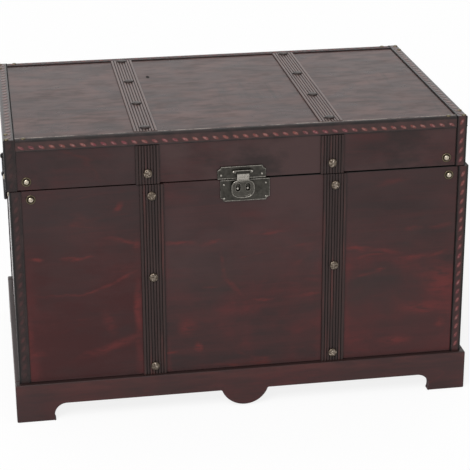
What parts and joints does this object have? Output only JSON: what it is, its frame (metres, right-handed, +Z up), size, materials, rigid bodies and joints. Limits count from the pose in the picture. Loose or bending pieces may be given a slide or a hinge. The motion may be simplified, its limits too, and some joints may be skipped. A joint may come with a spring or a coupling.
{
  "type": "wooden treasure chest",
  "caption": "Box-shaped wooden storage chest on a bracket plinth, with a hinged box lid, reeded straps, edge bands, dome nails, a hasp latch and drop handles.",
  "frame": {"origin": "centre of the chest's footprint, on the floor", "axes": "+Z up, the front with the latch looks towards -Y, +X to the right as seen from the front"},
  "size_m": [0.8554, 0.515, 0.549],
  "materials": {
    "plinth_wood": "dark mahogany stain under satin lacquer",
    "case_wood": "dark mahogany stain with worn red patches under satin lacquer",
    "top_wood": "dark mahogany stain with fine grain under satin lacquer",
    "lining_wood": "plain stained board",
    "band": "dark embossed band with worn red slanted dashes",
    "strap_wood": "dark stained reeded slat",
    "antique_brass": "antique, darkened in the hollows",
    "latch_bronze": "antique bronze, darkened, edges rubbed bright",
    "black_iron": "black painted iron, satin"
  },
  "bodies": {
    "case": {"plinth_front": "plinth_wood", "plinth_back": "plinth_wood", "plinth_left": "plinth_wood", "plinth_right": "plinth_wood", "case_front": "case_wood", "case_back": "case_wood", "case_left": "case_wood", "case_right": "case_wood", "case_base": "lining_wood", "case_corner_front_left": "band", "case_corner_front_right": "band", "case_corner_back_left": "band", "case_corner_back_right": "band", "case_strap_left": "strap_wood", "case_strap_right": "strap_wood", "nail_case_left_top": "antique_brass", "nail_case_left_middle": "antique_brass", "nail_case_left_bottom": "antique_brass", "nail_case_right_top": "antique_brass", "nail_case_right_middle": "antique_brass", "nail_case_right_bottom": "antique_brass", "nail_case_corner_left": "antique_brass", "nail_case_corner_right": "antique_brass", "latch_plate_lower": "latch_bronze", "handle_bracket_left_front": "black_iron", "handle_bracket_left_back": "black_iron", "handle_bracket_right_front": "black_iron", "handle_bracket_right_back": "black_iron", "hinge_case_leaf_left": "latch_bronze", "hinge_case_leaf_right": "latch_bronze", "hinge_pin_left": "latch_bronze", "hinge_pin_right": "latch_bronze"},
    "lid": {"lid_front": "case_wood", "lid_back": "case_wood", "lid_left": "case_wood", "lid_right": "case_wood", "lid_top": "top_wood", "lid_corner_front_left": "band", "lid_corner_front_right": "band", "lid_corner_back_left": "band", "lid_corner_back_right": "band", "lid_edge_front": "band", "lid_edge_back": "band", "lid_edge_left": "band", "lid_edge_right": "band", "lid_strap_front_left": "strap_wood", "lid_strap_front_right": "strap_wood", "lid_strap_top_left": "strap_wood", "lid_strap_top_right": "strap_wood", "nail_lid_left": "antique_brass", "nail_lid_right": "antique_brass", "nail_lid_corner_left": "antique_brass", "nail_lid_corner_right": "antique_brass", "latch_plate_upper": "latch_bronze", "hasp_pin": "latch_bronze", "hinge_lid_leaf_left": "latch_bronze", "hinge_lid_leaf_right": "latch_bronze"},
    "hasp": {"hasp": "latch_bronze"},
    "left_bail": {"handle_bail_left": "black_iron"},
    "right_bail": {"handle_bail_right": "black_iron"}
  },
  "joints": [
    {"name": "lid_open", "type": "hinge", "parent": "case", "child": "lid", "pos_m": [0, 0.2522, 0.45], "axis": [-1, 0, 0], "range_deg": [0, 100]},
    {"name": "hasp_swing", "type": "hinge", "parent": "lid", "child": "hasp", "pos_m": [-0.003, -0.2538, 0.4648], "axis": [-1, 0, 0], "range_deg": [0, 150]},
    {"name": "left_bail_swing", "type": "hinge", "parent": "case", "child": "left_bail", "pos_m": [-0.4222, 0, 0.416], "axis": [0, 1, 0], "range_deg": [0, 95]},
    {"name": "right_bail_swing", "type": "hinge", "parent": "case", "child": "right_bail", "pos_m": [0.4222, 0, 0.416], "axis": [0, -1, 0], "range_deg": [0, 95]}
  ]
}
